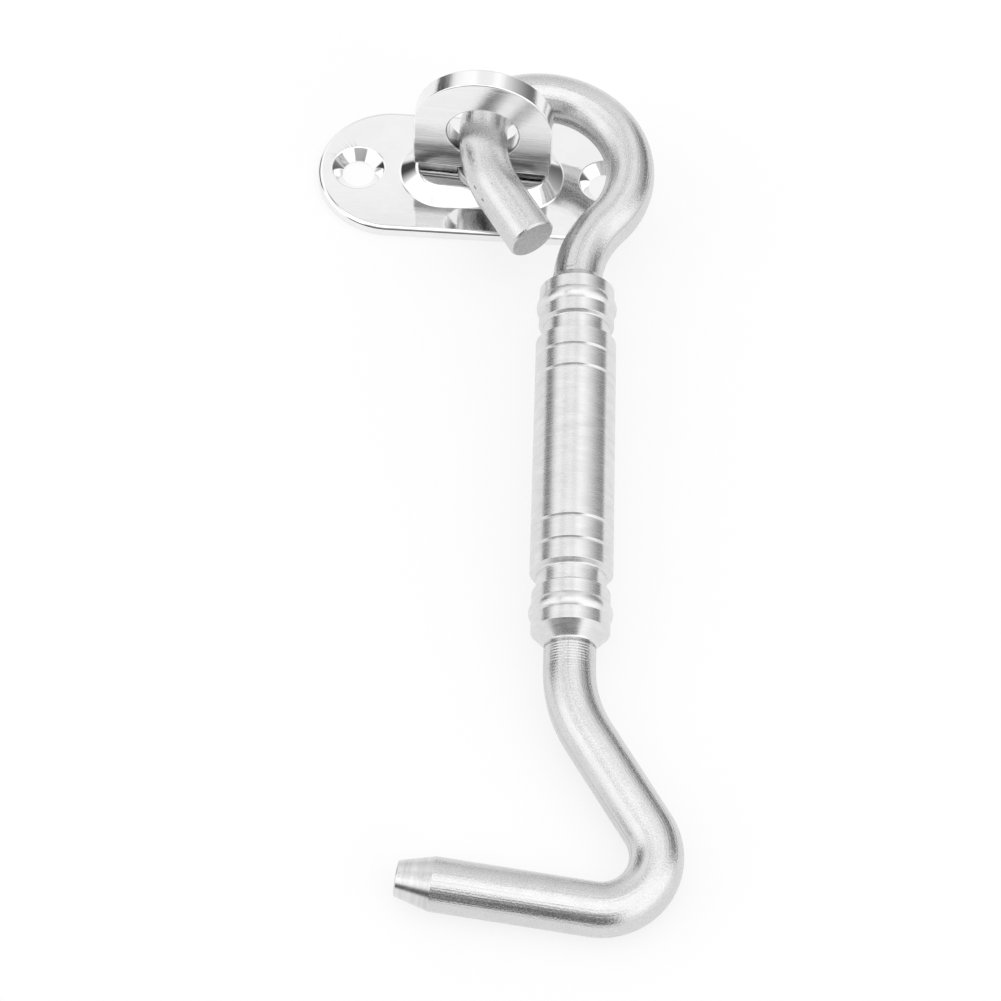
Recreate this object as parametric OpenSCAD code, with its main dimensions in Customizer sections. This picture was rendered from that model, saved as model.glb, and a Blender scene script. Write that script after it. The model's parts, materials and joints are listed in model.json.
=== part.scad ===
// Cabin hook on a swivel eye plate, lying as it does on a flat surface.
// The oval plate's back is on z = 0 with its screw holes along X, and the hook reaches towards -Y.
// The eye turns about Z in the plate's raised boss, and the hook's loop runs through the eye.
// Lengths are in millimetres and angles in degrees.

/* [Base plate] */
// Length of the plate over its round ends
plate_l = 56; // [52:0.5:70]
// Width of the plate
plate_w = 25.4; // [22:0.2:30]
// Thickness of the sheet that the plate is pressed from
sheet_t = 2; // [1.5:0.1:2.5]
// Rounding of the plate's upper edge
plate_edge_r = 0.8; // [0.2:0.1:1.2]

/* [Screw holes] */
// Distance between the two screw holes
screw_span = 42.2; // [38:0.2:46]
// Diameter of a screw hole
screw_d = 5.5; // [4.5:0.1:6]
// Angle across a countersink
screw_sink_angle = 90; // [80:1:100]
// Height of the straight wall under a countersink
screw_land = 0.3; // [0.2:0.05:0.8]

/* [Boss] */
// Length of the raised boss at the plate's face
boss_l = 27.8; // [24:0.2:30]
// Height of the boss above the plate's face
boss_rise = 2; // [1.8:0.1:2.6]
// Slope of the boss's flank
boss_slope = 36; // [32:1:50]
// Rounding of the boss's shoulder
boss_round = 1.2; // [0.4:0.1:2]

/* [Eye] */
// Width of the eye's D-shaped tab
tab_w = 23.1; // [20:0.1:26]
// Thickness of the tab
tab_t = 3.5; // [3:0.1:5]
// Bevel along the tab's outer edges
tab_bevel = 0.3; // [0.1:0.05:0.6]
// Rounding of the tab's lower corners
tab_corner_r = 1; // [0.4:0.1:3]
// Diameter of the eye
eye_d = 12; // [10.5:0.1:14]
// Height of the solid web under the eye
eye_web = 3.75; // [3.2:0.05:6]
// How far the eye's centre lies below the arch's centre
eye_drop = 0.85; // [0:0.05:2]
// Bevel along the eye's rims
eye_bevel = 0.35; // [0.1:0.05:0.6]
// Turn of the eye in the plate
eye_turn = -3.2; // [-20:0.1:20]

/* [Swivel stem] */
// Diameter of the stem's collar, which stands between the boss and the tab
collar_d = 8.6; // [7:0.1:9]
// Height of the collar
collar_h = 0.9; // [0.6:0.1:2]
// Diameter of the shank that turns in the boss
shank_d = 5; // [4:0.1:5.6]
// Diameter of the tenon that holds the tab
tenon_d = 2.4; // [1.6:0.1:2.6]
// Length of the tenon
tenon_l = 2.6; // [1.5:0.1:3]
// Diameter of the peened head under the washer
head_d = 6.8; // [6.2:0.1:7.2]
// Height of the peened head
head_h = 0.9; // [0.6:0.1:1.1]
// Radial clearance of the shank in the boss
swivel_fit = 0.05; // [0.02:0.01:0.1]
// Play of the stem along its axis, above and below the boss
swivel_play = 0.05; // [0.02:0.01:0.1]

/* [Washer] */
// Outer diameter of the washer
washer_d = 7.4; // [7.2:0.1:8.4]
// Thickness of the washer
washer_t = 0.5; // [0.3:0.1:0.6]
// Gap between the washer's rim and the edge of the boss's flat ceiling
washer_gap = 0.25; // [0.1:0.05:0.6]

/* [Hook bar] */
// Diameter of the bar
bar_d = 8; // [6:0.1:9]
// Gap between the bar and the eye's lower edge
bar_rest_gap = 0.3; // [0.25:0.05:0.6]
// Lean of the bar in the eye
bar_lean = 4.4; // [0:0.1:5]
// Thinning of the bar where it is bent
bend_thin = 0.04; // [0.02:0.01:0.1]
// Straight bar between two bends that follow each other
bend_gap = 0.8; // [0.7:0.1:2]
// Bevel of the bar's cut end
cut_bevel = 0.3; // [0.1:0.05:0.8]

/* [Loop] */
// Straight bar in the eye
eye_run = 1.6; // [1.4:0.1:2.4]
// Bend radius where the bar leaves the eye at the back
eye_bend_r = 6.4; // [6:0.1:9]
// Turn of that bend
eye_bend_turn = 73.6; // [68:0.1:80]
// Bend radius of the loop
loop_r = 15; // [14:0.1:18]
// Turn of the loop
loop_turn = 147.2; // [140:0.1:152]
// Bend radius of the neck between the loop and the grip
neck_r = 17.5; // [12:0.5:24]
// Bend radius of the tail in front of the eye
tail_r = 21; // [15:0.5:30]
// Turn of the tail
tail_turn = 32.1; // [20:0.1:34]
// Straight length of the tail after its bend
tail_l = 10.1; // [6:0.1:11]

/* [Grip] */
// Length of the grip between the rims of its end cones
grip_l = 60.6; // [52:0.2:80]
// Diameter of the grip's plain middle
grip_d = 12.85; // [11.8:0.05:16]
// Depth of the lands at the grip's ends below its plain middle
land_drop = 0.375; // [0.2:0.025:0.6]
// Wall of the grip at the small ends of its cones
grip_lip = 0.55; // [0.4:0.05:1]
// Distance of a bead's middle from the rim
bead_at = 3.25; // [2.6:0.05:3.6]
// Radius of a bead's round section
bead_r = 1.9; // [1.5:0.1:2]
// Height of a bead above the lands
bead_rise = 0.4; // [0.2:0.05:0.5]
// Distance of the deep relief from the rim
relief_at = 6.55; // [6:0.05:7.5]
// Length of the deep relief, from the land's edge to the plain middle's edge
relief_l = 3.35; // [2.4:0.05:3.6]
// Depth of the deep relief below the plain middle
relief_depth = 1; // [0.7:0.05:1.1]
// Length of the slope of each wall of the relief
relief_wall = 0.35; // [0.2:0.05:0.6]
// Distance of the first fine groove from the rim
groove_at = 13.2; // [11.8:0.1:15]
// Spacing of the fine grooves
groove_pitch = 3.9; // [2:0.1:6]
// Number of fine grooves at each end
groove_n = 2; // [1:1:3]
// Depth of a fine groove
groove_depth = 0.3; // [0.1:0.05:0.5]
// Straight bar between the neck's bend and the grip
grip_lead = 0.05; // [0.05:0.05:3]

/* [Latch end] */
// Straight bar between the grip and the offset bend
grip_tail = 4.55; // [2:0.05:10]
// Bend radius of the offset bend
offset_r = 20; // [12:0.5:26]
// Turn of the offset bend
offset_turn = 32.2; // [20:0.1:40]
// Straight bar between the offset bend and the latch bend
slant_l = 16.6; // [10:0.1:24]
// Bend radius of the latch bend
latch_r = 8.2; // [7.6:0.1:12]
// Angle from the grip's axis to the latch finger
finger_angle = 97.2; // [95:0.1:110]
// Length of the straight latch finger
finger_l = 23.3; // [16:0.1:30]
// Length of the finger's cone
tip_cone_l = 5.3; // [3:0.1:8]
// Diameter of the cone's flat end
tip_d = 5.2; // [3:0.1:5.6]

/* [Hidden] */
$fn = 64;

// How far a cutting shape runs past the face that it cuts
past = 1;

// How far a bend runs on into the straight bar at either end
bend_lap = 0.3;

// Heights above the surface that the plate lies on
boss_top = sheet_t + boss_rise;
collar_z = boss_top + swivel_play;
tab_z = collar_z + collar_h;
bar_z = tab_z + eye_web + bar_rest_gap + bar_d / 2;
washer_z = boss_rise - swivel_play - washer_t;
head_z = washer_z - head_h;

// Heights above the tab's lower edge
eye_h = eye_web + eye_d / 2;
arch_h = eye_h + eye_drop;

// Sections of the screw holes and the boss
screw_sink_h = sheet_t - screw_land;
screw_sink_d = screw_d + 2 * screw_sink_h * tan(screw_sink_angle / 2);
boss_run = boss_rise / tan(boss_slope);
hollow_top_w = washer_d + 2 * washer_gap;
boss_top_w = hollow_top_w + 2 * sheet_t * tan(boss_slope / 2);
boss_w = boss_top_w + 2 * boss_run;

// Diameters and lengths of the grip
land_d = grip_d - 2 * land_drop;
grip_cone_d = bar_d + 2 * grip_lip;
grip_cone_l = (land_d - grip_cone_d) / 2;
grip_full_l = grip_l + 2 * grip_cone_l;

// Runs of the bar from the eye, each [radius, turn] or, where straight, [0, length]
hook_runs = [
    [eye_bend_r, -eye_bend_turn],
    [0, bend_gap],
    [loop_r, -loop_turn],
    [0, bend_gap],
    [neck_r, eye_bend_turn + loop_turn - 180],
    [0, grip_lead + grip_full_l + grip_tail],
    [offset_r, offset_turn],
    [0, slant_l],
    [latch_r, -offset_turn - finger_angle]
];
tail_runs = [[tail_r, tail_turn]];

// Numbers of the grip's run and of the latch bend, the last run, and the headings that the bar sets out on
latch_step = len(hook_runs) - 1;
grip_step = latch_step - 3;
hook_heading = 90 + bar_lean;
tail_heading = hook_heading + 180;

function turned(p, a) = [p[0] * cos(a) - p[1] * sin(a), p[0] * sin(a) + p[1] * cos(a)];
function run_turn(run) = run[0] == 0 ? 0 : run[1];
function run_move(run) = run[0] == 0
    ? [run[1], 0]
    : [run[0] * sin(abs(run[1])), sign(run[1]) * run[0] * (1 - cos(run[1]))];
function heading_at(runs, start, i) = i == 0
    ? start
    : heading_at(runs, start, i - 1) + run_turn(runs[i - 1]);
function place_at(runs, start, i) = i == 0
    ? turned([eye_run / 2, 0], start)
    : place_at(runs, start, i - 1) + turned(run_move(runs[i - 1]), heading_at(runs, start, i - 1));

// The hook's plane dips so that the underside of the latch bend meets z = 0
latch_heading = heading_at(hook_runs, hook_heading, latch_step);
latch_centre = place_at(hook_runs, hook_heading, latch_step) + turned([0, -latch_r], latch_heading);
hook_dip = asin((bar_z - bar_d / 2) / (latch_r - latch_centre[1]));

// Sweeps half a section, drawn in +X, around a slot whose end centres are span apart along X
module slot_sweep(span) {
    for (side = [-1, 1])
        translate([side * span / 2, 0, 0])
            rotate([0, 0, -side * 90])
                rotate_extrude(angle = 180)
                    children();
    rotate([90, 0, 90])
        translate([0, 0, -span / 2])
            linear_extrude(span) {
                children();
                mirror([1, 0]) children();
            }
}

module plate_section() {
    edge_x = plate_w / 2 - plate_edge_r;
    edge_z = sheet_t - plate_edge_r;
    square([edge_x, sheet_t]);
    square([plate_w / 2, edge_z]);
    translate([edge_x, edge_z]) circle(plate_edge_r);
}

module boss_section() {
    round_x = boss_top_w / 2 - boss_round * tan(boss_slope / 2);
    round_z = boss_top - boss_round;
    flank_top = [round_x + boss_round * sin(boss_slope), round_z + boss_round * cos(boss_slope)];
    polygon([
        [0, 0], [boss_w / 2, 0], [boss_w / 2, sheet_t], flank_top,
        [round_x, round_z], [round_x, boss_top], [0, boss_top]
    ]);
    translate([round_x, round_z]) circle(boss_round);
}

module hollow_section() {
    ceiling_x = hollow_top_w / 2;
    mouth_x = ceiling_x + boss_run;
    polygon([
        [0, -past], [mouth_x, -past], [mouth_x, 0],
        [ceiling_x, boss_rise], [0, boss_rise]
    ]);
}

module screw_hole() {
    translate([0, 0, -past]) cylinder(d = screw_d, h = sheet_t + 2 * past);
    translate([0, 0, sheet_t - screw_sink_h])
        cylinder(d1 = screw_d, d2 = screw_sink_d, h = screw_sink_h);
    translate([0, 0, sheet_t]) cylinder(d = screw_sink_d, h = past);
}

module base_plate() {
    color("gainsboro")
        difference() {
            union() {
                slot_sweep(plate_l - plate_w) plate_section();
                slot_sweep(boss_l - boss_w) boss_section();
            }
            slot_sweep(boss_l - boss_w) hollow_section();
            cylinder(d = shank_d + 2 * swivel_fit, h = boss_top + past);
            for (side = [-1, 1])
                translate([side * screw_span / 2, 0, 0]) screw_hole();
        }
}

// Half of the tab's cross-section, with bevelled outer edges
module tab_section() {
    half_t = tab_t / 2;
    half_w = tab_w / 2;
    polygon([
        [0, -half_t], [half_w - tab_bevel, -half_t], [half_w, tab_bevel - half_t],
        [half_w, half_t - tab_bevel], [half_w - tab_bevel, half_t], [0, half_t]
    ]);
}

module tab_corner_cut() {
    translate([tab_w / 2 - tab_corner_r, 0, tab_corner_r])
        rotate([90, 0, 0])
            difference() {
                translate([0, -tab_corner_r - past, -tab_t / 2 - past])
                    cube([tab_corner_r + past, tab_corner_r + past, tab_t + 2 * past]);
                cylinder(r = tab_corner_r, h = tab_t + 4 * past, center = true);
            }
}

module eye_hole() {
    rim_d = eye_d + 2 * eye_bevel;
    cylinder(d = eye_d, h = tab_t + 2 * past, center = true);
    for (face = [0, 1])
        mirror([0, 0, face])
            translate([0, 0, tab_t / 2 - eye_bevel]) {
                cylinder(d1 = eye_d, d2 = rim_d, h = eye_bevel);
                translate([0, 0, eye_bevel]) cylinder(d = rim_d, h = past);
            }
}

module eye_tab() {
    color("silver")
        rotate([0, 0, eye_turn])
            translate([0, 0, tab_z])
                difference() {
                    union() {
                        translate([0, 0, arch_h])
                            rotate([90, 0, 0])
                                rotate_extrude(angle = 180)
                                    tab_section();
                        linear_extrude(arch_h) {
                            tab_section();
                            mirror([1, 0]) tab_section();
                        }
                    }
                    for (side = [0, 1])
                        mirror([side, 0, 0]) tab_corner_cut();
                    translate([0, 0, eye_h]) rotate([90, 0, 0]) eye_hole();
                    translate([0, 0, -past]) cylinder(d = tenon_d, h = tenon_l + past);
                }
}

// Turned stem: tenon, collar and shank, peened over below the washer
module swivel_stem() {
    cap_r = (pow(head_d / 2, 2) + pow(head_h, 2)) / (2 * head_h);
    color("darkgray") {
        rotate_extrude()
            polygon([
                [0, washer_z], [shank_d / 2, washer_z], [shank_d / 2, collar_z],
                [collar_d / 2, collar_z], [collar_d / 2, tab_z],
                [tenon_d / 2, tab_z], [tenon_d / 2, tab_z + tenon_l], [0, tab_z + tenon_l]
            ]);
        intersection() {
            translate([0, 0, head_z + cap_r]) sphere(cap_r);
            translate([0, 0, head_z]) cylinder(d = head_d, h = head_h);
        }
    }
}

module retaining_washer() {
    color("dimgray")
        translate([0, 0, washer_z])
            difference() {
                cylinder(d = washer_d, h = washer_t);
                translate([0, 0, -past]) cylinder(d = shank_d, h = washer_t + 2 * past);
            }
}

// A bend of the bar that sets out along +X and turns left
module bar_bend(r, turn) {
    lap = bend_lap / r * 180 / PI;
    translate([0, r, 0])
        rotate([0, 0, -90 - lap])
            rotate_extrude(angle = turn + 2 * lap)
                translate([r, 0]) circle(d = bar_d - bend_thin);
}

// One run of the bar, setting out along +X
module bar_run(run) {
    if (run[0] == 0)
        rotate([0, 90, 0]) cylinder(d = bar_d, h = run[1]);
    else if (run[1] > 0)
        bar_bend(run[0], run[1]);
    else
        mirror([0, 1, 0]) bar_bend(run[0], -run[1]);
}

// Straight end of the bar along +X, with a cone down to end_d
module bar_end(straight_l, cone_l, end_d) {
    bar_r = bar_d / 2;
    end_l = straight_l + cone_l;
    rotate([0, 90, 0])
        rotate_extrude()
            polygon([[0, 0], [bar_r, 0], [bar_r, straight_l], [end_d / 2, end_l], [0, end_l]]);
}

// Moves what is drawn along +X to the start of the run numbered i
module bar_place(runs, start, i) {
    at = place_at(runs, start, i);
    translate([at[0], at[1], 0])
        rotate([0, 0, heading_at(runs, start, i)])
            children();
}

// A chain of runs from the eye, closed by the straight end given as a child
module bar_chain(runs, start) {
    for (i = [0 : len(runs) - 1])
        bar_place(runs, start, i) bar_run(runs[i]);
    bar_place(runs, start, len(runs)) children();
}

// Moves the hook, drawn flat around the middle of the eye, to where it lies
module hook_place() {
    rotate([0, 0, eye_turn])
        translate([0, 0, bar_z])
            rotate([hook_dip, 0, 0])
                children();
}

module hook_rod() {
    color("silver")
        hook_place() {
            rotate([0, 0, hook_heading])
                rotate([0, 90, 0]) cylinder(d = bar_d, h = eye_run, center = true);
            bar_chain(hook_runs, hook_heading) bar_end(finger_l, tip_cone_l, tip_d);
            bar_chain(tail_runs, tail_heading) bar_end(tail_l, cut_bevel, bar_d - 2 * cut_bevel);
        }
}

// Cuts one end of the grip, whose rim is on z = 0 and whose middle lies towards +z
module grip_end_cuts() {
    land_r = land_d / 2;
    grip_r = grip_d / 2;
    relief_r = grip_r - relief_depth;
    relief_end = relief_at + relief_l;
    deep = grip_r + past;
    rotate_extrude()
        difference() {
            polygon([
                [land_r, 0], [deep, 0], [deep, relief_end], [grip_r, relief_end],
                [relief_r, relief_end - relief_wall], [relief_r, relief_at + relief_wall],
                [land_r, relief_at]
            ]);
            translate([land_r + bead_rise - bead_r, bead_at]) circle(bead_r);
        }
    for (i = [0 : groove_n - 1])
        translate([0, 0, groove_at + i * groove_pitch])
            rotate_extrude()
                polygon([
                    [grip_r - groove_depth, 0],
                    [deep, groove_depth + past], [deep, -groove_depth - past]
                ]);
}

module grip_barrel() {
    color("lightgray")
        hook_place()
            bar_place(hook_runs, hook_heading, grip_step)
                rotate([0, 90, 0])
                    translate([0, 0, grip_lead + grip_cone_l])
                        difference() {
                            union() {
                                cylinder(d = grip_d, h = grip_l);
                                for (end = [0, 1])
                                    translate([0, 0, end * grip_l])
                                        mirror([0, 0, 1 - end])
                                            cylinder(d1 = land_d, d2 = grip_cone_d, h = grip_cone_l);
                            }
                            for (end = [0, 1])
                                translate([0, 0, end * grip_l])
                                    mirror([0, 0, end])
                                        grip_end_cuts();
                            translate([0, 0, -grip_cone_l - past])
                                cylinder(d = bar_d, h = grip_full_l + 2 * past);
                        }
}

base_plate();
eye_tab();
swivel_stem();
retaining_washer();
hook_rod();
grip_barrel();
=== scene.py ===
import json
import math

import bmesh
import bpy
from mathutils import Matrix, Quaternion, Vector, kdtree


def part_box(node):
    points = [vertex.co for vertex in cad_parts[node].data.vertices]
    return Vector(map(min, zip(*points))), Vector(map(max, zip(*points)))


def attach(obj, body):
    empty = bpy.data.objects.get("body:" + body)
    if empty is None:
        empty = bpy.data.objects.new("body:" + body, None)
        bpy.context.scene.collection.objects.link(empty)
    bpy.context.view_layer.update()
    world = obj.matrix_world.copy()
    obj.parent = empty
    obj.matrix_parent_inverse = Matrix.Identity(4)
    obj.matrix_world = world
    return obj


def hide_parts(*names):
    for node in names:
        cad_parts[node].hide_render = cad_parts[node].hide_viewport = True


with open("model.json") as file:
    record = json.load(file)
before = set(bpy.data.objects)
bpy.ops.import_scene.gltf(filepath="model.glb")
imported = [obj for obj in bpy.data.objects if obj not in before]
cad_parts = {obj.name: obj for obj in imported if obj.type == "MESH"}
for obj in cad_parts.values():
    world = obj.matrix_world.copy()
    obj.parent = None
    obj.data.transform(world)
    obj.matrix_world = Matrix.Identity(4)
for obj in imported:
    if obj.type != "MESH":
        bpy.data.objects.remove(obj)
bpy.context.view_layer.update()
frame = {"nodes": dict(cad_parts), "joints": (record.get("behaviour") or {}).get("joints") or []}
print("frame loaded:", sorted(frame["nodes"]))

mm = 0.001
tiny = 1e-6                 # metres, points nearer than this are the same
flatDot = 0.99999           # faces this square to a direction are flat across it
up = Vector((0, 0, 1))


# small helpers for edit mode

def deselectAll():
    if bpy.context.mode != "OBJECT":
        bpy.ops.object.mode_set(mode="OBJECT")
    bpy.ops.object.select_all(action="DESELECT")


def pick(piece, kind, chosen):
    # selects each VERT, EDGE or FACE for which chosen says yes
    bpy.ops.mesh.select_mode(type=kind)
    bpy.ops.mesh.select_all(action="DESELECT")
    shape = bmesh.from_edit_mesh(piece.data)
    for part in {"VERT": shape.verts, "EDGE": shape.edges, "FACE": shape.faces}[kind]:
        part.select = bool(chosen(part))
    shape.select_flush_mode()
    bmesh.update_edit_mesh(piece.data)


def startEditing(name):
    # names the new primitive, puts its place into its mesh and goes into edit mode
    piece = bpy.context.object
    piece.name = name
    bpy.ops.object.transform_apply(location=True, rotation=True, scale=True)
    bpy.ops.object.mode_set(mode="EDIT")
    return piece


def startRing(name, centre, ahead, radius, sides):
    # an open circle across the direction ahead, ready to be extruded
    deselectAll()
    turn = ahead.to_track_quat("Z", "Y").to_euler()
    bpy.ops.mesh.primitive_circle_add(vertices=sides, radius=radius, fill_type="NOTHING",
                                      location=centre, rotation=turn)
    piece = startEditing(name)
    bpy.ops.mesh.select_mode(type="VERT")
    bpy.ops.mesh.select_all(action="SELECT")
    return piece


def pushRing(step, grow=1.0, centre=None):
    # one ring further along, made wider or narrower about its centre
    bpy.ops.mesh.extrude_region_move(TRANSFORM_OT_translate={"value": step})
    if grow != 1.0:
        bpy.ops.transform.resize(value=(grow, grow, grow), center_override=centre)


def pushRings(start, ahead, profile):
    # takes the selected ring along a profile of (distance along, radius)
    for (along, radius), (nextAlong, nextRadius) in zip(profile, profile[1:]):
        pushRing(ahead * (nextAlong - along), nextRadius / radius, start + ahead * nextAlong)


def turnProfile(name, start, ahead, profile, sides):
    # a turned piece: one ring for each point of the profile
    along, radius = profile[0]
    piece = startRing(name, start + ahead * along, ahead, radius, sides)
    pushRings(start, ahead, profile)
    return piece


def isOpen(edge):
    return edge.is_boundary or edge.is_wire


def capEnds(piece):
    # closes every open ring
    pick(piece, "EDGE", isOpen)
    bpy.ops.mesh.edge_face_add()


def roundedLine(corners, steps):
    # a profile from corners of (along, radius, rounding), each rounded corner becoming an arc
    points = [Vector(corners[0][:2])]
    for before, (along, radius, soft), after in zip(corners, corners[1:], corners[2:]):
        corner = Vector((along, radius))
        if soft == 0:
            points.append(corner)
            continue
        back = (Vector(before[:2]) - corner).normalized()
        ahead = (Vector(after[:2]) - corner).normalized()
        half = back.angle(ahead) / 2
        centre = corner + (back + ahead).normalized() * soft / math.sin(half)
        first = corner + back * soft / math.tan(half) - centre
        last = corner + ahead * soft / math.tan(half) - centre
        for step in range(steps + 1):
            points.append(centre + first.lerp(last, step / steps).normalized() * soft)
    points.append(Vector(corners[-1][:2]))
    return [tuple(point) for point in points]


def arcPoints(centre, radius, fromAngle, toAngle, steps):
    # points on an arc of a profile, angles in degrees from the direction along the axis
    points = []
    for step in range(steps + 1):
        angle = math.radians(fromAngle + (toAngle - fromAngle) * step / steps)
        points.append((centre[0] + radius * math.cos(angle), centre[1] + radius * math.sin(angle)))
    return points


def settlePiece(piece, smoothAngle, flatWay=None):
    # merges doubles, turns the faces outwards and sets the shading, which follows the larger faces
    bpy.ops.object.mode_set(mode="EDIT")
    bpy.ops.mesh.select_all(action="SELECT")
    bpy.ops.mesh.remove_doubles(threshold=tiny)
    bpy.ops.mesh.normals_make_consistent(inside=False)
    if flatWay:
        pick(piece, "FACE", lambda face: abs(face.normal.dot(flatWay)) > flatDot)
        bpy.ops.mesh.mod_weighted_strength(set=True, face_strength="STRONG")
    deselectAll()
    bpy.context.view_layer.objects.active = piece
    piece.select_set(True)
    bpy.ops.object.shade_smooth_by_angle(angle=math.radians(smoothAngle))
    even = piece.modifiers.new("evenShading", "WEIGHTED_NORMAL")
    even.keep_sharp = True
    even.use_face_influence = flatWay is not None
    bpy.ops.object.modifier_apply(modifier=even.name)


def cutAway(piece, cutter):
    # takes the cutter's volume out of the piece
    deselectAll()
    bpy.context.view_layer.objects.active = piece
    piece.select_set(True)
    cut = piece.modifiers.new("cut", "BOOLEAN")
    cut.operation = "DIFFERENCE"
    cut.solver = "EXACT"
    cut.object = cutter
    bpy.ops.object.modifier_apply(modifier=cut.name)
    bpy.data.objects.remove(cutter)


def keepVectors(piece, attribute, values):
    layer = piece.data.attributes.new(attribute, "FLOAT_VECTOR", "POINT")
    layer.data.foreach_set("vector", values)


def straighten(piece, name, start, ahead):
    # each point's place along and across a straight turned piece, and the piece's direction
    side = ahead.orthogonal().normalized()
    flat = []
    for vert in piece.data.vertices:
        away = vert.co - start
        flat += [away.dot(ahead), away.dot(side), away.dot(ahead.cross(side))]
    keepVectors(piece, name + "Flat", flat)
    keepVectors(piece, name + "Axis", list(ahead) * len(piece.data.vertices))


def place(piece, body, slot, node, *materials):
    for material in materials:
        piece.data.materials.append(material)
    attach(piece, body)
    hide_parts(node)
    print("made", piece.name, len(piece.data.polygons), "faces")


# small helpers for nodes

noiseSpan = (0.3, 0.7)      # where nearly all of a noise's values lie


def grey(tone):
    return (tone, tone, tone, 1.0)


def nodeAdder(tree):
    def add(kind, inputs=None, **settings):
        node = tree.nodes.new("ShaderNode" + kind)
        for key, value in settings.items():
            setattr(node, key, value)
        for key, value in (inputs or {}).items():
            if isinstance(value, bpy.types.NodeSocket):
                tree.links.new(value, node.inputs[key])
            else:
                node.inputs[key].default_value = value
        return node
    return add


def addMath(add, operation, *values):
    return add("Math", dict(enumerate(values)), operation=operation).outputs["Value"]


def addMix(add, share, first, second, kind="FLOAT"):
    return add("Mix", {"Factor": share, "A": first, "B": second}, data_type=kind).outputs["Result"]


def addRange(add, value, given, wanted=(0.0, 1.0), kind="LINEAR"):
    limits = {"From Min": given[0], "From Max": given[1], "To Min": wanted[0], "To Max": wanted[1]}
    return add("MapRange", {"Value": value, **limits}, interpolation_type=kind).outputs["Result"]


def addRamp(add, value, stops):
    # stops are (position, brightness)
    stops = list(stops)
    node = add("ValToRGB", {"Fac": value})
    elements = node.color_ramp.elements
    while len(elements) < len(stops):
        elements.new(1.0)
    for element, (position, tone) in zip(elements, stops):
        element.position = position
        element.color = grey(tone)
    return node.outputs["Color"]


def addNoise(add, where, scale, detail, roughness=0.5, turn=0.0):
    # the scale is one number, or three that stretch the pattern
    if isinstance(scale, tuple):
        where = add("Mapping", {"Vector": where, "Scale": scale, "Rotation": (0, 0, turn)}).outputs["Vector"]
        scale = 1.0
    look = {"Vector": where, "Scale": scale, "Detail": detail, "Roughness": roughness}
    return add("TexNoise", look).outputs["Fac"]


def addBump(add, height, strength, depth, over=None):
    look = {"Height": height, "Strength": strength, "Distance": depth}
    if over:
        look["Normal"] = over
    return add("Bump", look).outputs["Normal"]


def startMetal(name):
    material = bpy.data.materials.new(name)
    material.use_nodes = True
    return material, nodeAdder(material.node_tree)


def finishMetal(material, colour, rough, normal, axis=None):
    shader = material.node_tree.nodes["Principled BSDF"]
    shader.inputs["Metallic"].default_value = 1.0
    sockets = {"Base Color": colour, "Roughness": rough, "Normal": normal}
    if axis:
        sockets["Tangent"] = axis
    for key, value in sockets.items():
        material.node_tree.links.new(value, shader.inputs[key])
    return shader


# sizes of the bar, from its sawn end to its tip; a bend is its radius and its turn in degrees

barPiece = {
    "radius": 4 * mm, "sides": 96, "bendStep": 2.5, "gap": 0.8 * mm, "smooth": 12,
    "tailRun": 10.1 * mm, "tailBend": (21 * mm, 32.1), "sawBevel": 0.3 * mm, "sawnDepth": 0.02 * mm,
    "eyeBend": (6.4 * mm, 73.6), "loopBend": (15 * mm, 147.2), "neckBend": (17.5 * mm, 40.8),
    "gripLead": 0.05 * mm, "gripLength": 60.6 * mm, "gripCone": 1.5 * mm, "gripTail": 4.55 * mm,
    "offsetBend": (20 * mm, 32.2), "slantRun": 16.6 * mm, "latchBend": (8.2 * mm, 129.4),
    "fingerRun": 23.3 * mm,
    "tipCone": 5.3 * mm, "tipRadius": 2.6 * mm, "tipRound": 0.35 * mm, "tipSteps": 8, "tipTurned": 0.98,
    "feedPitch": 0.44 * mm, "feedDepth": 0.035 * mm, "feedFade": 8 * mm, "feedShape": (0, 0.5, 1, 0.5),
    "runPoints": 40, "bendPoints": 4,               # points kept along each run and each step of a bend
}


# satin bar: fine grain with faint lines along the bar, a few pits, and feed marks below the grip

satinLook = {
    "grain": 3600, "patches": 420, "grainShare": 0.75, "tone": (0.60, 0.76), "rough": (0.19, 0.29),
    "drawn": (60, 3000, 3000), "grainBump": 0.6, "grainDepth": 0.06 * mm,
    "pits": (340, 1000, 1000), "pitSpan": (0.78, 0.80), "pitGrey": 0.15,
    "scores": (9, 1500, 1500), "scoreSpan": (0.65, 0.69), "scoreShare": 0.2,
    "feedDepth": 0.012 * mm,
}


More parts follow.
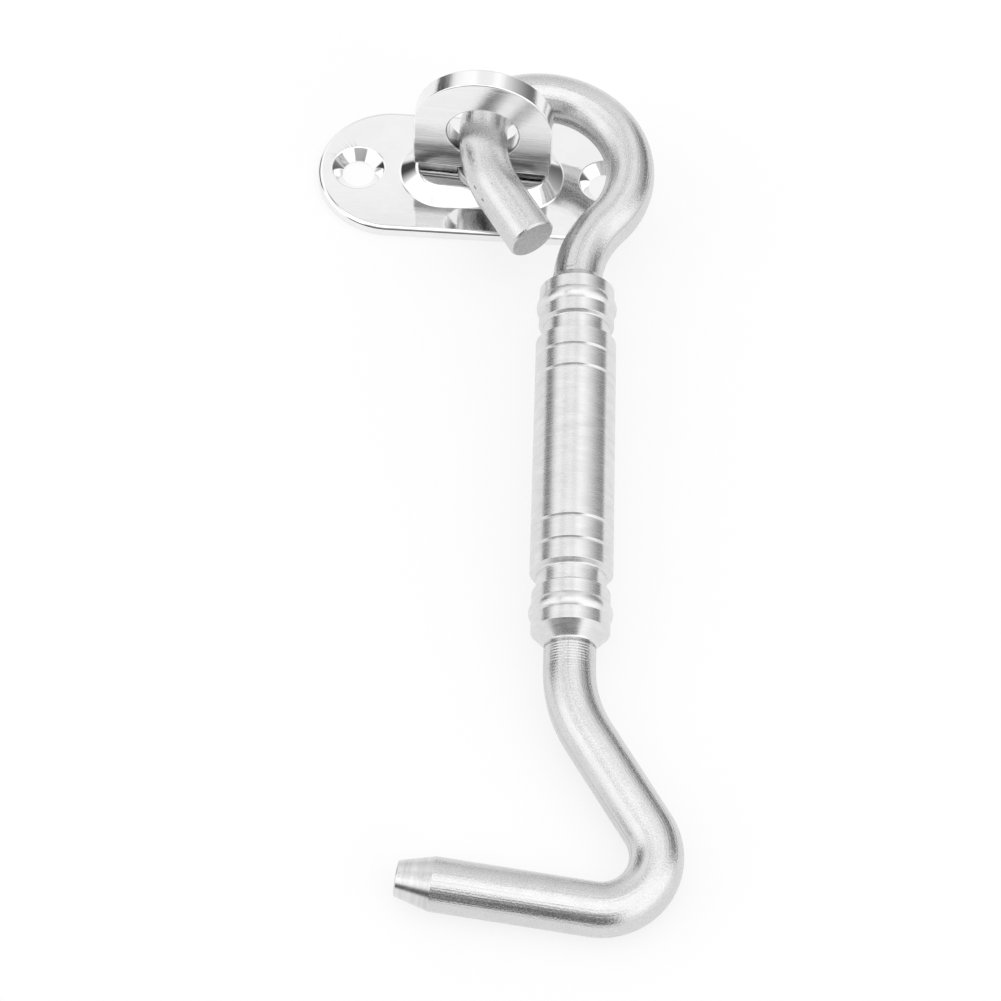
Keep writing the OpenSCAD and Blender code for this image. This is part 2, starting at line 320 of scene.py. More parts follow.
def makeSatinBar(look):
    material, add = startMetal("satinBar")
    flat = add("Attribute", attribute_name="barFlat").outputs["Vector"]
    grain = addNoise(add, flat, look["grain"], 3.0, 0.6)
    patches = addNoise(add, flat, look["patches"], 4.0)
    drawn = addNoise(add, flat, look["drawn"], 2.0)
    pits = addRamp(add, addNoise(add, flat, look["pits"], 1.0), zip(look["pitSpan"], (0.0, 1.0)))
    scores = addRamp(add, addNoise(add, flat, look["scores"], 1.0),
                     zip(look["scoreSpan"], (0.0, look["scoreShare"])))
    mottled = addMix(add, look["grainShare"], patches, grain)
    tone = addRamp(add, mottled, zip(noiseSpan, look["tone"]))
    marred = addMath(add, "MAXIMUM", pits, scores)
    colour = addMix(add, marred, tone, grey(look["pitGrey"]), "RGBA")
    rough = addRange(add, grain, noiseSpan, look["rough"])
    grainy = addBump(add, addMath(add, "ADD", grain, drawn), look["grainBump"], look["grainDepth"])
    # the feed marks go on as a wave along the bar, fading out
    along = add("SeparateXYZ", {"Vector": flat}).outputs["X"]
    wave = addMath(add, "SINE", addMath(add, "MULTIPLY", along, 2 * math.pi / barPiece["feedPitch"]))
    left = add("Attribute", attribute_name="feedMarks").outputs["Fac"]
    marked = addBump(add, addMath(add, "MULTIPLY", wave, left), 1.0, look["feedDepth"], grainy)
    finishMetal(material, colour, rough, marked)
    return material


# turned steel: fine lines round the axis that stretch every reflection along it

turnedLooks = {
    "grip": {"lines": 7000, "bands": 840, "around": 260, "tone": (0.71, 0.80), "rough": (0.21, 0.33),
             "bump": 0.6, "depth": 0.022 * mm, "stretch": 0.87},
    "tip": {"lines": 9000, "bands": 1080, "around": 90, "tone": (0.62, 0.76), "rough": (0.14, 0.26),
            "bump": 0.6, "depth": 0.03 * mm, "stretch": 0.3},
    "stem": {"lines": 7000, "bands": 840, "around": 60, "tone": (0.42, 0.55), "rough": (0.22, 0.36),
             "bump": 0.6, "depth": 0.02 * mm, "stretch": 0.7},
    "washer": {"lines": 4000, "bands": 480, "around": 60, "tone": (0.48, 0.60), "rough": (0.25, 0.38),
               "bump": 0.6, "depth": 0.02 * mm, "stretch": 0.6},
}


def makeTurned(name, piece, look):
    material, add = startMetal(name)
    flat = add("Attribute", attribute_name=piece + "Flat").outputs["Vector"]
    axis = add("Attribute", attribute_name=piece + "Axis").outputs["Vector"]
    axis = add("VectorTransform", {"Vector": axis}, vector_type="VECTOR",
               convert_from="OBJECT", convert_to="WORLD").outputs["Vector"]
    around = look["around"]
    lines = addNoise(add, flat, (look["lines"], around, around), 4.0, 0.7)
    bands = addNoise(add, flat, (look["bands"], around, around), 2.0)
    tone = addRamp(add, bands, zip(noiseSpan, look["tone"]))
    rough = addRange(add, lines, noiseSpan, look["rough"])
    scored = addBump(add, lines, look["bump"], look["depth"])
    shader = finishMetal(material, tone, rough, scored, axis)
    shader.inputs["Anisotropic"].default_value = look["stretch"]
    return material


# sawn end: dull, mottled, with saw lines across it

sawnLook = {
    "mottle": 1600, "saw": (150, 150, 5200), "toneSpan": (0.35, 0.65), "tone": (0.42, 0.62),
    "rough": (0.42, 0.6), "bump": 0.8, "depth": 0.04 * mm,
}


def makeSawnEnd(look):
    material, add = startMetal("sawnEnd")
    where = add("TexCoord").outputs["Object"]
    mottle = addNoise(add, where, look["mottle"], 5.0, 0.7)
    sawLines = addNoise(add, where, look["saw"], 2.0)
    tone = addRamp(add, mottle, zip(look["toneSpan"], look["tone"]))
    rough = addRange(add, mottle, noiseSpan, look["rough"])
    sawn = addBump(add, addMath(add, "ADD", mottle, sawLines), look["bump"], look["depth"])
    finishMetal(material, tone, rough, sawn)
    return material


# polished plate: near mirror, a little wavy, with hairlines

plateLook = {
    "waves": 260, "tone": (0.87, 0.90), "waveBump": 0.25, "waveDepth": 0.03 * mm,
    "hair": (180, 5200, 900), "hairTurn": 0.35, "hairSpan": (0.3, 0.75), "rough": (0.05, 0.09),
    "hairBump": 0.12, "hairDepth": 0.008 * mm,
}


def makePolishedPlate(look):
    material, add = startMetal("polishedPlate")
    where = add("TexCoord").outputs["Object"]
    waves = addNoise(add, where, look["waves"], 2.0)
    hairlines = addNoise(add, where, look["hair"], 3.0, turn=look["hairTurn"])
    tone = addRamp(add, waves, zip(noiseSpan, look["tone"]))
    rough = addRange(add, hairlines, look["hairSpan"], look["rough"])
    wavy = addBump(add, waves, look["waveBump"], look["waveDepth"])
    fine = addBump(add, hairlines, look["hairBump"], look["hairDepth"], wavy)
    finishMetal(material, tone, rough, fine)
    return material


# brushed tab: polished with streaks across its width, and a painted dark reflection low down, streaky like
# the brushing

tabLook = {
    "streaks": (140, 140, 6000), "rough": (0.10, 0.22), "bump": 0.5, "depth": 0.02 * mm,
    "smears": (60, 60, 900), "tone": (0.87, 0.91),
    # the painted dark reflection: full below the lower height and gone above the upper, with its grey and
    # its share along the streaks
    "paintedReflectionHeights": (12.6 * mm, 10.4 * mm), "paintedReflectionGrey": 0.17,
    "paintedReflectionSpan": (0.35, 0.65), "paintedReflectionShare": (0.35, 0.9),
}


def makeBrushedTab(look):
    material, add = startMetal("brushedTab")
    where = add("TexCoord").outputs["Object"]
    streaks = addNoise(add, where, look["streaks"], 4.0, 0.6)
    smears = addNoise(add, where, look["smears"], 3.0)
    tone = addRamp(add, smears, zip(noiseSpan, look["tone"]))
    # painted dark reflection low on the face: the tone is greyed below a height, unevenly along the streaks
    height = add("SeparateXYZ", {"Vector": where}).outputs["Z"]
    low = addRange(add, height, look["paintedReflectionHeights"], kind="SMOOTHSTEP")
    paintedReflectionStreaks = addRange(add, streaks, look["paintedReflectionSpan"], look["paintedReflectionShare"])
    share = addMath(add, "MULTIPLY", low, paintedReflectionStreaks)
    withPaintedReflection = addMix(add, share, tone, grey(look["paintedReflectionGrey"]), "RGBA")
    rough = addRange(add, streaks, noiseSpan, look["rough"])
    brushed = addBump(add, streaks, look["bump"], look["depth"])
    finishMetal(material, withPaintedReflection, rough, brushed)
    return material


satinBar = makeSatinBar(satinLook)
turnedTip = makeTurned("turnedTip", "bar", turnedLooks["tip"])
sawnEnd = makeSawnEnd(sawnLook)
turnedGrip = makeTurned("turnedGrip", "grip", turnedLooks["grip"])
polishedPlate = makePolishedPlate(plateLook)
brushedTab = makeBrushedTab(tabLook)
turnedStem = makeTurned("turnedStem", "stem", turnedLooks["stem"])
turnedWasher = makeTurned("turnedWasher", "stem", turnedLooks["washer"])
print("materials made")


# where the hook lies: its plane holds the bar's direction in the eye and the tab's width

hookJoint = next(joint for joint in frame["joints"] if joint["name"] == "hook_swing")
eyeTurn = math.radians(-3.2)
eyeMiddle = Vector(hookJoint["pos_m"])
barAhead = -Vector(hookJoint["axis"]).normalized()
hookUp = Vector((math.cos(eyeTurn), math.sin(eyeTurn), 0)).cross(barAhead).normalized()
left = 1
right = -1


def goRound(spot, ahead, radius, turn, way):
    # the end of a bend of so many degrees to the left or right, the direction there and the bend's centre
    side = hookUp.cross(ahead) * radius * way
    swing = Quaternion(hookUp, math.radians(turn * way))
    centre = spot + side
    return centre - swing @ side, swing @ ahead, centre


def barMoves(bar):
    gripRun = bar["gripLead"] + 2 * bar["gripCone"] + bar["gripLength"]
    return [
        ("saw", bar["sawBevel"]), ("run", bar["tailRun"]), ("bend", *bar["tailBend"], right),
        ("run", 2 * bar["gap"]), ("bend", *bar["eyeBend"], right),
        ("run", bar["gap"]), ("bend", *bar["loopBend"], right),
        ("run", bar["gap"]), ("bend", *bar["neckBend"], left),
        ("grip", gripRun), ("marks", bar["gripTail"]), ("bend", *bar["offsetBend"], left),
        ("run", bar["slantRun"]), ("bend", *bar["latchBend"], right),
        ("run", bar["fingerRun"]), ("tip", bar["tipCone"]),
    ]


def barProfile(bar, kind, run):
    # the radius along one straight run of the bar
    radius = bar["radius"]
    if kind == "saw":
        return [(0, radius - bar["sawBevel"]), (run, radius)]
    if kind == "tip":
        corners = [(0, radius), (run, bar["tipRadius"], bar["tipRound"]), (run, 0)]
        return roundedLine(corners, bar["tipSteps"])[:-1]
    if kind == "marks":
        # the feed marks that the turning tool left on the bar, fading out
        shape = bar["feedShape"]
        rings = len(shape) * math.floor(run / bar["feedPitch"])
        profile = []
        for ring in range(rings + 1):
            along = ring * run / rings
            deep = shape[ring % len(shape)] * (1 - along / bar["feedFade"])
            profile.append((along, radius - bar["feedDepth"] * deep))
        return profile
    return [(0, radius), (run, radius)]


def makeBar(bar):
    # back from the eye to the sawn end, where the bar starts
    spot = eyeMiddle - barAhead * bar["gap"]
    spot, ahead, _ = goRound(spot, -barAhead, *bar["tailBend"], left)
    spot = spot + ahead * (bar["tailRun"] + bar["sawBevel"])
    ahead = -ahead
    piece = startRing("hookBar", spot, ahead, bar["radius"] - bar["sawBevel"], bar["sides"])
    path = []                                       # (place, direction, distance) along the bar's middle
    distance = 0.0
    for kind, size, *bend in barMoves(bar):
        if kind == "bend":
            turn, way = bend
            steps = math.ceil(turn / bar["bendStep"])
            length = size * math.radians(turn)
            nextSpot, nextAhead, centre = goRound(spot, ahead, size, turn, way)
            bpy.ops.mesh.spin(steps=steps, angle=math.radians(-way * turn), center=centre, axis=hookUp)
            for point in range(steps * bar["bendPoints"]):
                part = point / (steps * bar["bendPoints"])
                midSpot, midAhead, _ = goRound(spot, ahead, size, turn * part, way)
                path.append((midSpot, midAhead, distance + length * part))
            spot, ahead = nextSpot, nextAhead
            distance += length
            continue
        for point in range(bar["runPoints"]):
            along = size * point / bar["runPoints"]
            path.append((spot + ahead * along, ahead, distance + along))
        pushRings(spot, ahead, barProfile(bar, kind, size))
        if kind == "grip":
            gripStart = spot + ahead * (bar["gripLead"] + bar["gripCone"])
            gripAhead = ahead.copy()
        elif kind == "marks":
            marksFrom = distance
        spot = spot + ahead * size
        distance += size
    path.append((spot, ahead, distance))
    capEnds(piece)
    settlePiece(piece, bar["smooth"])
    unbend(piece, "bar", path)
    keepMarks(piece, bar, marksFrom)
    return piece, gripStart, gripAhead, distance


def unbend(piece, name, path):
    # where each point of the surface would lie if the bar were straight: along, sideways, up
    tree = kdtree.KDTree(len(path))
    for index, (spot, _, _) in enumerate(path):
        tree.insert(spot, index)
    tree.balance()
    flat = []
    axes = []
    for vert in piece.data.vertices:
        _, index, _ = tree.find(vert.co)
        spot, ahead, distance = path[index]
        away = vert.co - spot
        flat += [distance + away.dot(ahead), away.dot(hookUp.cross(ahead)), away.dot(hookUp)]
        axes += list(ahead)
    keepVectors(piece, name + "Flat", flat)
    keepVectors(piece, name + "Axis", axes)


def keepMarks(piece, bar, marksFrom):
    # how strong the feed marks still are at each point below the grip
    layer = piece.data.attributes.new("feedMarks", "FLOAT", "POINT")
    flat = piece.data.attributes["barFlat"].data
    for vert in piece.data.vertices:
        past = (flat[vert.index].vector.x - marksFrom) / bar["feedFade"]
        layer.data[vert.index].value = 1 - past if 0 < past < 1 else 0


def paintEnds(piece, bar, length):
    # the cone takes the second material and the sawn face the third
    flat = piece.data.attributes["barFlat"].data
    for face in piece.data.polygons:
        along = sum(flat[index].vector.x for index in face.vertices) / len(face.vertices)
        if along > length - bar["tipCone"] * bar["tipTurned"]:
            face.material_index = 1
        elif along < bar["sawnDepth"]:
            face.material_index = 2


hookBar, gripStart, gripAhead, barLength = makeBar(barPiece)
place(hookBar, "hook", "satin_bar", "hook_rod", satinBar, turnedTip, sawnEnd)
paintEnds(hookBar, barPiece, barLength)


# the grip, turned with a bead, a relief and grooves at each end

gripPiece = {
    "sides": 128, "radius": 6.425 * mm, "landRadius": 6.05 * mm, "smooth": 25, "cornerSteps": 4,
    "rootReach": 2.9 * mm, "rootRound": 0.5 * mm, "rimRound": 0.12 * mm, "rootSteps": 6, "sink": 0.01 * mm,
    "beadAt": 3.25 * mm, "beadRadius": 1.9 * mm, "beadRise": 0.4 * mm, "beadSteps": 16,
    "reliefAt": 6.55 * mm, "reliefLength": 3.35 * mm, "reliefRadius": 5.425 * mm,
    "reliefWall": 0.35 * mm, "reliefRound": 0.3 * mm, "edgeRound": 0.1 * mm,
    "grooveAt": 13.2 * mm, "groovePitch": 3.9 * mm, "grooves": 2, "grooveDepth": 0.3 * mm,
    "grooveRound": 0.05 * mm,
}


def makeGrip(grip, length):
    # half of the profile, from the bar's surface to the middle: cone and rim, bead, relief, grooves
    land = grip["landRadius"]
    barRadius = barPiece["radius"] - grip["sink"]
    beadCentre = land + grip["beadRise"] - grip["beadRadius"]
    reach = math.degrees(math.acos((land - beadCentre) / grip["beadRadius"]))
    bead = arcPoints((grip["beadAt"], beadCentre), grip["beadRadius"], 90 + reach, 90 - reach,
                     grip["beadSteps"])
    half = roundedLine([(-grip["rootReach"], barRadius), (barRadius - land, barRadius, grip["rootRound"]),
                        (0, land, grip["rimRound"]), bead[0]], grip["rootSteps"])
    half += bead[1:-1]
    reliefEnd = grip["reliefAt"] + grip["reliefLength"]
    corners = [bead[-1], (grip["reliefAt"], land, grip["edgeRound"]),
               (grip["reliefAt"] + grip["reliefWall"], grip["reliefRadius"], grip["reliefRound"]),
               (reliefEnd - grip["reliefWall"], grip["reliefRadius"], grip["reliefRound"]),
               (reliefEnd, grip["radius"], grip["edgeRound"])]
    for groove in range(grip["grooves"]):
        middle = grip["grooveAt"] + groove * grip["groovePitch"]
        depth = grip["grooveDepth"]
        for off, deep in ((-depth, 0), (0, depth), (depth, 0)):
            corners.append((middle + off, grip["radius"] - deep, grip["grooveRound"]))
    corners.append((length / 2, grip["radius"]))
    half += roundedLine(corners, grip["cornerSteps"])
    # the other half mirrors it, and the bore leads back to the start
    whole = half + [(length - along, radius) for along, radius in reversed(half[:-1])] + half[:1]
    piece = turnProfile("turnedGripBarrel", gripStart, gripAhead, whole, grip["sides"])
    settlePiece(piece, grip["smooth"])
    straighten(piece, "grip", gripStart, gripAhead)
    return piece


gripBarrel = makeGrip(gripPiece, barPiece["gripLength"])
place(gripBarrel, "hook", "turned_grip", "grip_barrel", turnedGrip)


# the oval plate with its pressed boss

platePiece = {
    "sides": 128, "thick": 2 * mm, "smooth": 30,
    "edgeRound": 0.8 * mm, "edgeSteps": 10, "underBevel": 0.2 * mm,
    "bossLength": 27.8 * mm, "bossWidth": 14.706 * mm, "bossRise": 2 * mm, "bossSlope": 36,
    "hollowTop": 7.9 * mm, "hollowStep": 0.25, "bossRound": 1.2 * mm, "bossSteps": 8,
    "footRound": 0.7 * mm, "footSteps": 6,
    "screwSpan": 42.2 * mm, "screwRadius": 2.75 * mm, "sinkRadius": 4.45 * mm, "sinkLand": 0.3 * mm,
    "lipRound": 0.5 * mm, "lipSteps": 6, "shankRadius": 2.55 * mm,
}


def fromSpine(co, halfSpan):
    # distance of a point from the slot's middle line
    return math.hypot(max(abs(co.x) - halfSpan, 0), co.y)


def onSlot(co, halfSpan, radius, height):
    return abs(co.z - height) < tiny and abs(fromSpine(co, halfSpan) - radius) < tiny


def pullSlot(piece, halfSpan, radius, height):
    # pulls the circle of that radius and height apart into a slot, and leaves it selected
    for way in (1, -1):
        pick(piece, "VERT", lambda vert: onSlot(vert.co, 0, radius, height) and vert.co.x * way > tiny)
        bpy.ops.transform.translate(value=(way * halfSpan, 0, 0))
    pick(piece, "VERT", lambda vert: onSlot(vert.co, halfSpan, radius, height))


def addCircle(middle, radius, sides):
    # one more loop, in the mesh being edited or as a new mesh
    bpy.ops.mesh.primitive_circle_add(vertices=sides, radius=radius, fill_type="NOTHING", location=middle)


def pickSlot(piece, halfSpan, radius, height):
    # selects the open edges of a slot, or of a circle where the span is 0
    pick(piece, "EDGE", lambda edge: isOpen(edge) and all(
        onSlot(vert.co, halfSpan, radius, height) for vert in edge.verts))


def fillLevel(piece, height):
    # fills between the open loops at one height
    pick(piece, "EDGE", lambda edge: isOpen(edge) and all(
        abs(vert.co.z - height) < tiny for vert in edge.verts))
    bpy.ops.mesh.fill()


def sinkHole(piece, middle, profile):
    # takes the hole's lip, already drawn, down a profile of (radius, height)
    radius, height = profile[0]
    pick(piece, "EDGE", lambda edge: isOpen(edge) and all(
        onSlot(vert.co - middle, 0, radius, height) for vert in edge.verts))
    pushRings(middle, up, [(height, radius) for radius, height in profile])


def aimFace(piece, way):
    # turns the selected face up or down
    shape = bmesh.from_edit_mesh(piece.data)
    if any(face.select and face.normal.z * way < 0 for face in shape.faces):
        bpy.ops.mesh.flip_normals()


def insetSteps(points, way):
    # follows a profile of (distance in, height) with insets of the selected face
    for (lastIn, lastHeight), (thisIn, thisHeight) in zip(points, points[1:]):
        depth = way * (thisHeight - lastHeight)
        bpy.ops.mesh.inset(thickness=thisIn - lastIn, depth=depth, use_even_offset=True)


def pressSlot(piece, slot, points, way):
    # closes an open slot with a face, presses it up along a profile and opens it again
    pickSlot(piece, *slot)
    bpy.ops.mesh.edge_face_add()
    aimFace(piece, way)
    insetSteps(points, way)
    bpy.ops.mesh.delete(type="ONLY_FACE")


def bossProfile(plate, slope):
    # from the foot: concave round, straight slope, convex round, flat top
    top = plate["thick"] + plate["bossRise"]
    foot = arcPoints((0, plate["thick"] + plate["footRound"]), plate["footRound"],
                     270, 270 + plate["bossSlope"], plate["footSteps"])
    footReach = plate["footRound"] * math.tan(slope / 2)
    roundReach = plate["bossRound"] * math.tan(slope / 2)
    topIn = footReach + plate["bossRise"] / math.tan(slope)
    crown = arcPoints((topIn + roundReach, top - plate["bossRound"]), plate["bossRound"],
                      90 + plate["bossSlope"], 90, plate["bossSteps"])
    return foot + crown


def makeRim(plate, halfSpan, radius):
    # the outer wall, the rounded edge by insets, and a small bevel round the under face
    deselectAll()
    addCircle((0, 0, plate["underBevel"]), radius, plate["sides"])
    piece = startEditing("ovalPlate")
    pullSlot(piece, halfSpan, radius, plate["underBevel"])
    bpy.ops.mesh.edge_face_add()
    soft = plate["edgeRound"]
    wall = plate["thick"] - soft - plate["underBevel"]
    bpy.ops.mesh.extrude_region_move(TRANSFORM_OT_translate={"value": (0, 0, wall)})
    bpy.ops.mesh.select_all(action="SELECT")
    bpy.ops.mesh.normals_make_consistent(inside=False)
    pick(piece, "FACE", lambda face: face.normal.z > flatDot)
    insetSteps(arcPoints((soft, plate["thick"] - soft), soft, 180, 90, plate["edgeSteps"]), 1)
    bpy.ops.mesh.delete(type="ONLY_FACE")
    pick(piece, "FACE", lambda face: face.normal.z < -flatDot)
    bpy.ops.mesh.inset(thickness=plate["underBevel"], depth=plate["underBevel"], use_even_offset=True)
    bpy.ops.mesh.delete(type="ONLY_FACE")
    return piece


def makePlate(plate):
    low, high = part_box("base_plate")
    plateRadius = (high.y - low.y) / 2
    piece = makeRim(plate, (high.x - low.x) / 2 - plateRadius, plateRadius)
    slope = math.radians(plate["bossSlope"])
    rise = plate["bossRise"]
    run = rise / math.tan(slope)
    hollowRadius = plate["hollowTop"] / 2 + run
    bossRadius = plate["bossWidth"] / 2
    bossHalf = plate["bossLength"] / 2 - bossRadius
    # the face is filled between its edge, the lips of the screw holes and the boss's foot
    footRadius = bossRadius + plate["footRound"] * math.tan(slope / 2)
    top = plate["thick"]
    sink = roundedLine([(plateRadius, top), (plate["sinkRadius"], top, plate["lipRound"]),
                        (plate["screwRadius"], plate["sinkLand"], 0), (plate["screwRadius"], 0)],
                       plate["lipSteps"])[1:]
    screws = [Vector((way * plate["screwSpan"] / 2, 0, 0)) for way in (1, -1)]
    for screw in screws:
        addCircle(screw + up * top, sink[0][0], plate["sides"])
    addCircle((0, 0, top), footRadius, plate["sides"])
    pullSlot(piece, bossHalf, footRadius, top)
    fillLevel(piece, top)
    for screw in screws:
        sinkHole(piece, screw, sink)
    # the boss is pressed up, and its top is filled round the stem's hole
    pressSlot(piece, (bossHalf, footRadius, top), bossProfile(plate, slope), 1)
    addCircle((0, 0, top + rise), plate["shankRadius"], plate["sides"])
    fillLevel(piece, top + rise)
    # the under face is filled too, with the hollow under the boss, and the stem's hole comes down to it
    addCircle((0, 0, 0), hollowRadius, plate["sides"])
    pullSlot(piece, bossHalf, hollowRadius, 0)
    fillLevel(piece, 0)
    hollow = [(0, 0), (plate["hollowStep"] * run, plate["hollowStep"] * rise), (run, rise)]
    pressSlot(piece, (bossHalf, hollowRadius, 0), hollow, -1)
    pickSlot(piece, 0, plate["shankRadius"], top + rise)
    pushRing(-up * top)
    fillLevel(piece, rise)
    settlePiece(piece, plate["smooth"], up)
    return piece


ovalPlate = makePlate(platePiece)
place(ovalPlate, "base", "polished_plate", "base_plate", polishedPlate)


# the tab with the eye

tabPiece = {
    "archSides": 160, "width": 23.1 * mm, "thick": 3.5 * mm, "base": 4.95 * mm, "archHeight": 10.6 * mm,
    "eyeSides": 128, "eyeRadius": 6 * mm, "eyeHeight": 9.75 * mm, "eyeReach": 0.1 * mm,
    "corner": 1.0 * mm, "cornerSteps": 8, "bevel": 0.3 * mm, "eyeBevel": 0.35 * mm, "bevelSteps": 4,
    "smooth": 35, "sharp": 30,                      # degrees
}


def bevelEdges(piece, chosen, size, steps):
    pick(piece, "EDGE", chosen)
    bpy.ops.mesh.bevel(offset=size, offset_type="OFFSET", segments=steps, affect="EDGES")


def makeTab(tab):
    # an arch, cut from a cylinder, on straight sides
    archZ = tab["base"] + tab["archHeight"]
    deselectAll()
    bpy.ops.mesh.primitive_cylinder_add(vertices=tab["archSides"], radius=tab["width"] / 2,
                                        depth=tab["thick"], location=(0, 0, archZ),
                                        rotation=(math.pi / 2, 0, 0))
    piece = startEditing("eyeTab")
    bpy.ops.mesh.select_all(action="SELECT")
    bpy.ops.mesh.bisect(plane_co=(0, 0, archZ), plane_no=up, clear_inner=True)
    pick(piece, "EDGE", isOpen)
    bpy.ops.mesh.extrude_region_move(TRANSFORM_OT_translate={"value": (0, 0, -tab["archHeight"])})
    bpy.ops.mesh.edge_face_add()
    bpy.ops.mesh.select_all(action="SELECT")
    bpy.ops.mesh.remove_doubles(threshold=tiny)
    bpy.ops.mesh.dissolve_limited(angle_limit=math.radians(0.2))
    bpy.ops.mesh.normals_make_consistent(inside=False)

    def atCorner(edge):
        return all(abs(vert.co.z - tab["base"]) < tiny and abs(abs(vert.co.x) - tab["width"] / 2) < tiny
                   for vert in edge.verts)

    bevelEdges(piece, atCorner, tab["corner"], tab["cornerSteps"])
    bpy.ops.object.mode_set(mode="OBJECT")
    middle = Vector((0, 0, tab["base"] + tab["eyeHeight"]))
    through = [(-tab["thick"], tab["eyeRadius"]), (tab["thick"], tab["eyeRadius"])]
    cutter = turnProfile("eyeCutter", middle, Vector((0, 1, 0)), through, tab["eyeSides"])
    capEnds(cutter)
    settlePiece(cutter, tab["sharp"])
    cutAway(piece, cutter)
    bpy.ops.object.mode_set(mode="EDIT")

    def onFace(edge):
        flat = all(abs(abs(vert.co.y) - tab["thick"] / 2) < tiny for vert in edge.verts)
        return flat and len(edge.link_faces) == 2 and edge.calc_face_angle() > math.radians(tab["sharp"])

    def inEye(edge):
        return all((vert.co - middle).xz.length < tab["eyeRadius"] + tab["eyeReach"] for vert in edge.verts)

    bevelEdges(piece, lambda edge: onFace(edge) and not inEye(edge), tab["bevel"], tab["bevelSteps"])
    bevelEdges(piece, lambda edge: onFace(edge) and inEye(edge), tab["eyeBevel"], tab["bevelSteps"])
    bpy.ops.object.mode_set(mode="OBJECT")
    piece.rotation_euler.z = eyeTurn
    bpy.ops.object.transform_apply(location=True, rotation=True, scale=True)
    settlePiece(piece, tab["smooth"], Vector((-math.sin(eyeTurn), math.cos(eyeTurn), 0)))
    return piece


eyeTab = makeTab(tabPiece)
place(eyeTab, "eye", "brushed_tab", "eye_tab", brushedTab)


# the stem with its collar, shank and peened head, and the washer

stemPiece = {
    "sides": 96, "smooth": 40, "headLow": 0.55 * mm, "headHigh": 1.45 * mm, "headEdge": 0.06 * mm,
    # the peened head's crown: height above its low end, radius
    "crown": [(0, 1.6 * mm), (0.06 * mm, 2.4 * mm), (0.2 * mm, 3.0 * mm), (0.42 * mm, 3.3 * mm)],
    "crownHeight": 0.65 * mm, "headRadius": 3.4 * mm, "shankRadius": 2.5 * mm,
    "collarLow": 4.05 * mm, "collarHigh": 4.95 * mm, "collarRadius": 4.3 * mm,
    "tenonRadius": 1.2 * mm, "tenonHigh": 7.55 * mm, "round": 0.25 * mm, "roundSteps": 5,
}
washerPiece = {
    "sides": 96, "smooth": 40, "low": 1.45 * mm, "high": 1.95 * mm, "inner": 2.5 * mm, "outer": 3.7 * mm,
    "round": 0.12 * mm, "roundSteps": 4,
}


def discRim(low, high, radius, soft, steps):
    # the profile of a disc's outer wall, rounded above and below
    lower = arcPoints((low + soft, radius - soft), soft, 180, 90, steps)
    upper = arcPoints((high - soft, radius - soft), soft, 90, 0, steps)
    return [(low, radius - soft)] + lower[1:] + upper


def makeStem(stem):
    head = stem["headRadius"]
    profile = [(stem["headLow"] + height, radius) for height, radius in stem["crown"]]
    profile += [(stem["headLow"] + stem["crownHeight"], head), (stem["headHigh"] - stem["headEdge"], head),
                (stem["headHigh"], head - stem["headEdge"]), (stem["headHigh"], stem["shankRadius"]),
                (stem["collarLow"], stem["shankRadius"])]
    profile += discRim(stem["collarLow"], stem["collarHigh"], stem["collarRadius"], stem["round"],
                       stem["roundSteps"])
    profile += [(stem["collarHigh"], stem["tenonRadius"]), (stem["tenonHigh"], stem["tenonRadius"])]
    piece = turnProfile("swivelStem", Vector(), up, profile, stem["sides"])
    capEnds(piece)
    settlePiece(piece, stem["smooth"])
    straighten(piece, "stem", Vector(), up)
    return piece


def makeWasher(washer):
    profile = [(washer["low"], washer["inner"])]
    profile += discRim(washer["low"], washer["high"], washer["outer"], washer["round"], washer["roundSteps"])
    profile += [(washer["high"], washer["inner"]), (washer["low"], washer["inner"])]
    piece = turnProfile("retainingWasher", Vector(), up, profile, washer["sides"])
    settlePiece(piece, washer["smooth"])
    straighten(piece, "stem", Vector(), up)
    return piece


swivelStem = makeStem(stemPiece)
place(swivelStem, "eye", "turned_stem", "swivel_stem", turnedStem)
stemWasher = makeWasher(washerPiece)
place(stemWasher, "eye", "turned_stem", "retaining_washer", turnedWasher)


# floor, studio light and camera

stageLook = {"floorSize": 6.0, "floorDrop": 0.05 * mm, "floorWhite": 0.95, "shownWhite": 0.75}


def makeFloor(look):
    deselectAll()
    bpy.ops.mesh.primitive_plane_add(size=look["floorSize"], location=(0, 0, -look["floorDrop"]))
    floor = bpy.context.object
    floor.name = "floor"
    bpy.ops.object.transform_apply(location=True, rotation=True, scale=True)
    material = bpy.data.materials.new("paleFloor")
    material.use_nodes = True
    material.node_tree.nodes.clear()
    add = nodeAdder(material.node_tree)
    rays = add("LightPath").outputs
    seen = addMath(add, "MAXIMUM", rays["Is Camera Ray"], rays["Is Glossy Ray"])
    seen = addMath(add, "MAXIMUM", seen, rays["Is Transmission Ray"])
    share = addMath(add, "MULTIPLY", seen, look["shownWhite"])
    matt = add("BsdfDiffuse", {"Color": grey(look["floorWhite"])}).outputs["BSDF"]
    glow = add("Emission", {"Color": grey(1.0), "Strength": 1.0}).outputs["Emission"]
    mixed = add("MixShader", {0: share, 1: matt, 2: glow})
    add("OutputMaterial", {"Surface": mixed.outputs["Shader"]})
    floor.data.materials.append(material)


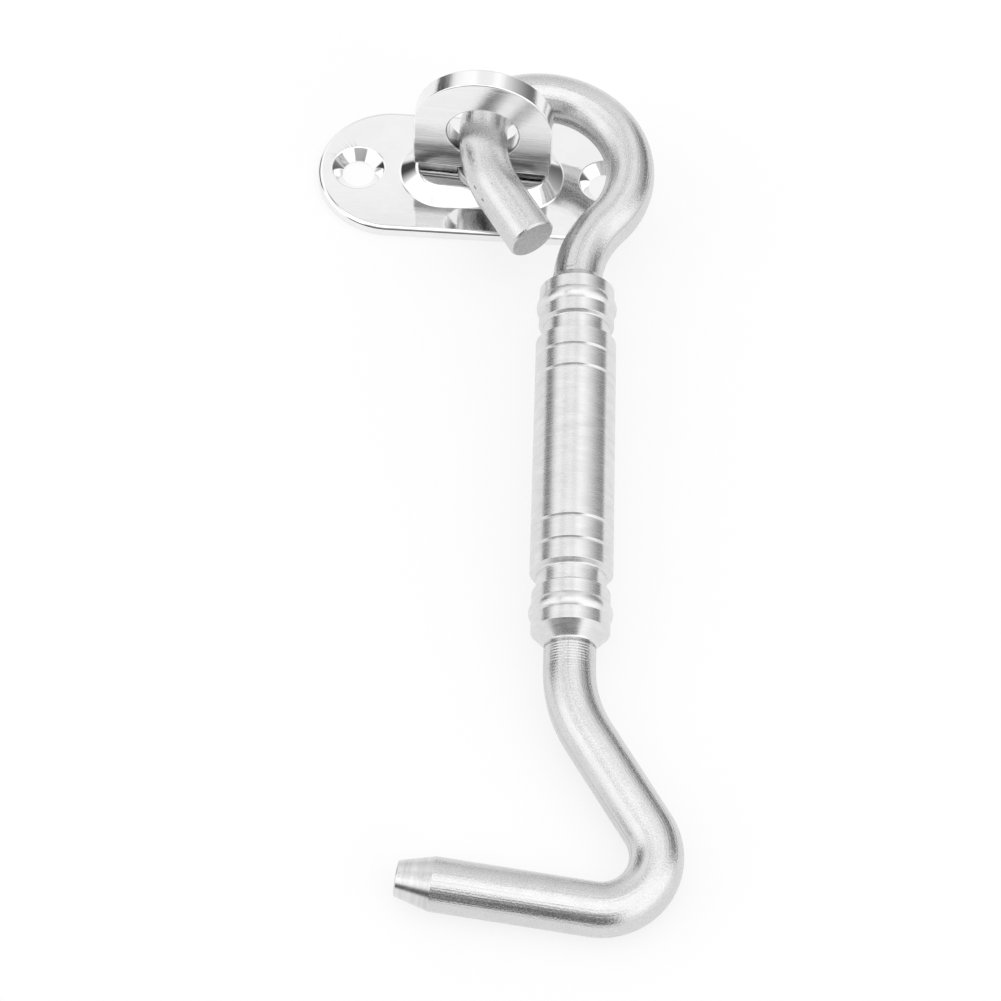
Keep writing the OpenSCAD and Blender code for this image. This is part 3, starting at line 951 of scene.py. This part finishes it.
skyLook = {
    # brightness by height, from the horizon (0) to straight above (1)
    "boxes": [(0.0, 0.92), (0.12, 1.10), (0.30, 1.36), (0.90, 1.42)],
    "corners": [(0.0, 0.92), (0.45, 1.0), (0.70, 1.14), (0.90, 1.28), (0.97, 1.42)],
    "back": [(0.0, 0.78), (0.60, 0.81), (0.75, 1.0), (0.82, 1.0), (0.88, 0.88), (0.945, 0.88),
             (0.985, 1.42)],
    "boxEnd": (98, 108), "backFrom": (158, 170),    # degrees from the front, either side
    # dark places: brightness, degrees from the front (left is less than 0), heights
    "dark": [
        (0.55, (-40, -30, 19, 26), (-0.02, 0.04, 0.77, 0.83)),
        (0.16, (-40, -30, 19, 26), (-0.02, 0.04, 0.46, 0.72)),
        (0.12, (-62, -50, -30, -20), (-0.02, 0.04, 0.34, 0.50)),
        (0.06, (-142, -134, -109, -100), (-2, -1, 0.26, 0.52)),
        (0.14, (95, 108, 142, 156), (-2, -1, 0.05, 1.05)),
        (0.45, (-200, -190, -76, -60), (0.79, 0.825, 0.85, 0.885)),
    ],
}


def makeSky(look):
    world = bpy.data.worlds.new("studio")
    bpy.context.scene.world = world
    world.use_nodes = True
    world.node_tree.nodes.clear()
    add = nodeAdder(world.node_tree)
    way = add("SeparateXYZ", {"Vector": add("TexCoord").outputs["Generated"]}).outputs
    height = way["Z"]

    def fade(value, edges):
        return addRange(add, value, edges, kind="SMOOTHSTEP")

    def between(value, edges):
        rising, falling = edges[:2], edges[:1:-1]
        return addMath(add, "MULTIPLY", fade(value, rising), fade(value, falling))

    def byHeight(stops):
        return addRamp(add, height, stops)

    turn = addMath(add, "ARCTAN2", way["X"], addMath(add, "MULTIPLY", way["Y"], -1.0))
    turn = addMath(add, "DEGREES", turn)
    aside = addMath(add, "ABSOLUTE", turn)
    light = addMix(add, fade(aside, look["backFrom"]), byHeight(look["corners"]), byHeight(look["back"]))
    light = addMix(add, fade(aside, look["boxEnd"]), byHeight(look["boxes"]), light)
    for dark, turns, heights in look["dark"]:
        share = addMath(add, "MULTIPLY", between(turn, turns), between(height, heights))
        light = addMix(add, share, light, dark)
    shine = add("Background", {"Color": grey(1.0), "Strength": light})
    add("OutputWorld", {"Surface": shine.outputs["Background"]})


photoView = {
    "aim": Vector((6.4, -63.6, 0)) * mm, "distance": 418.1 * mm, "lens": 94.77, "sensor": 36,
    "azimuth": 0.12, "elevation": 58.62, "roll": 3.20,      # degrees
}


def makeCamera(view):
    azimuth, elevation, roll = (math.radians(view[key]) for key in ("azimuth", "elevation", "roll"))
    back = Vector((math.sin(azimuth) * math.cos(elevation), -math.cos(azimuth) * math.cos(elevation),
                   math.sin(elevation)))
    level = Vector((math.cos(azimuth), math.sin(azimuth), 0))
    upright = back.cross(level)
    side = level * math.cos(roll) + upright * math.sin(roll)
    top = upright * math.cos(roll) - level * math.sin(roll)
    lens = bpy.data.cameras.new("photoCamera")
    lens.lens = view["lens"]
    lens.sensor_width = view["sensor"]
    camera = bpy.data.objects.new("photoCamera", lens)
    bpy.context.scene.collection.objects.link(camera)
    turn = Matrix((side, top, back)).transposed().to_4x4()
    camera.matrix_world = Matrix.Translation(view["aim"] + back * view["distance"]) @ turn
    bpy.context.scene.camera = camera


makeFloor(stageLook)
makeSky(skyLook)
makeCamera(photoView)
bpy.context.scene.view_settings.view_transform = "Standard"
print("floor, light and camera made")
